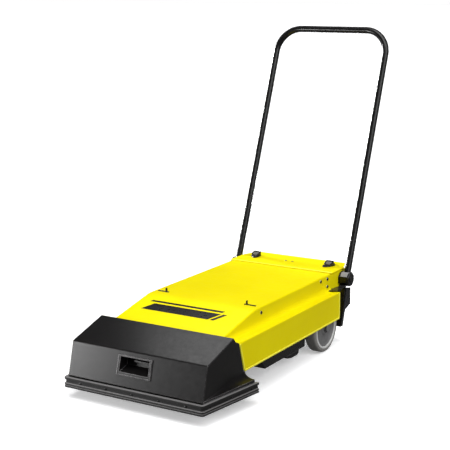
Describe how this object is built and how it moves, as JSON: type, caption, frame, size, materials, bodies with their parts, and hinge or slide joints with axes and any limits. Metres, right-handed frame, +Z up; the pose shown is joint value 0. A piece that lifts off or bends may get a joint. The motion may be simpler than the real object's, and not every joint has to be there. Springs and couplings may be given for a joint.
{
  "type": "walk behind sweeper",
  "caption": "Low battery floor sweeper with a wide black brush head, yellow sheet-metal cover, grey rear wheels and a folding U-shaped push handle",
  "frame": {"origin": "on the floor under the middle of the machine's box", "axes": "+Z up, +X to the machine's right as a person behind it sees, brush head toward -Y, handle toward +Y"},
  "size_m": [0.5312, 1.2395, 1.011],
  "materials": {
    "yellow_paint": "bright yellow powder coat, semi-gloss",
    "black_plastic": "black moulded plastic with a fine grain",
    "black_paint": "black satin powder coat",
    "black_rubber": "matt black rubber",
    "grey_tyre": "grey non-marking rubber",
    "grey_hub": "mid-grey moulded nylon",
    "steel": "zinc-plated steel",
    "bristle": "stiff nylon bristle",
    "grey_case": "dark grey moulded case"
  },
  "bodies": {
    "chassis": {"main_cover": "yellow_paint", "head_base": "black_plastic", "charge_socket": "black_plastic", "belly_skid_left": "black_plastic", "belly_skid_right": "black_plastic", "brush_shroud": "black_paint", "chassis_tub": "black_paint", "motor_shelf": "black_paint", "rear_panel": "black_paint", "side_arm_left": "black_paint", "side_arm_right": "black_paint", "roller_fork_left": "black_paint", "roller_fork_right": "black_paint", "handle_post_left": "black_paint", "handle_post_right": "black_paint", "gusset_plate_left": "black_paint", "gusset_plate_right": "black_paint", "ledge_bracket_left": "black_paint", "ledge_bracket_right": "black_paint", "bumper_strip": "black_rubber", "drive_belt": "black_rubber", "motor_body": "steel", "rear_axle": "steel", "head_bolt_left": "steel", "head_bolt_right": "steel", "axle_nut_left": "steel", "axle_nut_right": "steel", "pivot_bolt_left": "steel", "pivot_bolt_right": "steel", "control_box": "grey_case", "battery_left": "grey_case", "battery_right": "grey_case"},
    "hopper": {"hopper_hood": "black_plastic", "grip_cup": "black_plastic", "debris_tray": "black_plastic"},
    "brush": {"brush_core": "steel", "brush_bristles": "bristle", "brush_pulley": "black_plastic"},
    "motor_rotor": {"motor_pulley": "steel"},
    "wheel_left": {"tyre_left": "grey_tyre", "wheel_rim_left": "grey_hub"},
    "wheel_right": {"tyre_right": "grey_tyre", "wheel_rim_right": "grey_hub"},
    "roller_left": {"floor_roller_left": "grey_tyre"},
    "roller_right": {"floor_roller_right": "grey_tyre"},
    "lid": {"rear_deck": "yellow_paint"},
    "latch_left": {"lid_latch_left": "black_plastic"},
    "latch_right": {"lid_latch_right": "black_plastic"},
    "catch_left": {"turn_latch_left": "black_paint"},
    "catch_right": {"turn_latch_right": "black_paint"},
    "rocker": {"power_switch": "black_plastic"},
    "handle": {"handle_tube": "black_paint", "handle_knuckle_left": "black_paint", "handle_knuckle_right": "black_paint"},
    "knob_left": {"clamp_knob_left": "black_plastic"},
    "knob_right": {"clamp_knob_right": "black_plastic"}
  },
  "joints": [
    {"name": "hopper_slide", "type": "slide", "parent": "chassis", "child": "hopper", "axis": [0, -1, 0], "range_m": [0, 0.26]},
    {"name": "brush_spin", "type": "hinge", "parent": "chassis", "child": "brush", "pos_m": [0, -0.465, 0.067], "axis": [1, 0, 0], "continuous": true},
    {"name": "motor_spin", "type": "hinge", "parent": "chassis", "child": "motor_rotor", "pos_m": [0, -0.32, 0.136], "axis": [1, 0, 0], "continuous": true},
    {"name": "wheel_left_spin", "type": "hinge", "parent": "chassis", "child": "wheel_left", "pos_m": [-0.195, 0.154, 0.08], "axis": [1, 0, 0], "continuous": true},
    {"name": "wheel_right_spin", "type": "hinge", "parent": "chassis", "child": "wheel_right", "pos_m": [0.195, 0.154, 0.08], "axis": [1, 0, 0], "continuous": true},
    {"name": "roller_left_spin", "type": "hinge", "parent": "chassis", "child": "roller_left", "pos_m": [-0.15, -0.355, 0.025], "axis": [1, 0, 0], "continuous": true},
    {"name": "roller_right_spin", "type": "hinge", "parent": "chassis", "child": "roller_right", "pos_m": [0.15, -0.355, 0.025], "axis": [1, 0, 0], "continuous": true},
    {"name": "lid_hinge", "type": "hinge", "parent": "chassis", "child": "lid", "pos_m": [0, 0.236, 0.2384], "axis": [1, 0, 0], "range_deg": [0, 90]},
    {"name": "lid_latch_left_turn", "type": "hinge", "parent": "lid", "child": "latch_left", "pos_m": [-0.1385, 0.319, 0.241], "axis": [0, 0, -1], "range_deg": [0, 90]},
    {"name": "lid_latch_right_turn", "type": "hinge", "parent": "lid", "child": "latch_right", "pos_m": [0.1385, 0.319, 0.241], "axis": [0, 0, 1], "range_deg": [0, 90]},
    {"name": "turn_latch_left_turn", "type": "hinge", "parent": "chassis", "child": "catch_left", "pos_m": [-0.141, -0.23, 0.237], "axis": [0, 0, -1], "range_deg": [0, 90]},
    {"name": "turn_latch_right_turn", "type": "hinge", "parent": "chassis", "child": "catch_right", "pos_m": [0.141, -0.23, 0.237], "axis": [0, 0, 1], "range_deg": [0, 90]},
    {"name": "power_rock", "type": "hinge", "parent": "chassis", "child": "rocker", "pos_m": [0.11, 0.338, 0.203], "axis": [1, 0, 0], "range_deg": [0, 12]},
    {"name": "handle_fold", "type": "hinge", "parent": "chassis", "child": "handle", "pos_m": [0, 0.311, 0.205], "axis": [1, 0, 0], "range_deg": [-25, 105]},
    {"name": "clamp_knob_left_turn", "type": "hinge", "parent": "chassis", "child": "knob_left", "pos_m": [-0.224, 0.311, 0.205], "axis": [-1, 0, 0], "range_deg": [-30, 330]},
    {"name": "clamp_knob_right_turn", "type": "hinge", "parent": "chassis", "child": "knob_right", "pos_m": [0.224, 0.311, 0.205], "axis": [1, 0, 0], "range_deg": [-30, 330]}
  ],
  "couplings": [
    {"joint": "motor_spin", "follows": "brush_spin", "ratio": 2}
  ]
}
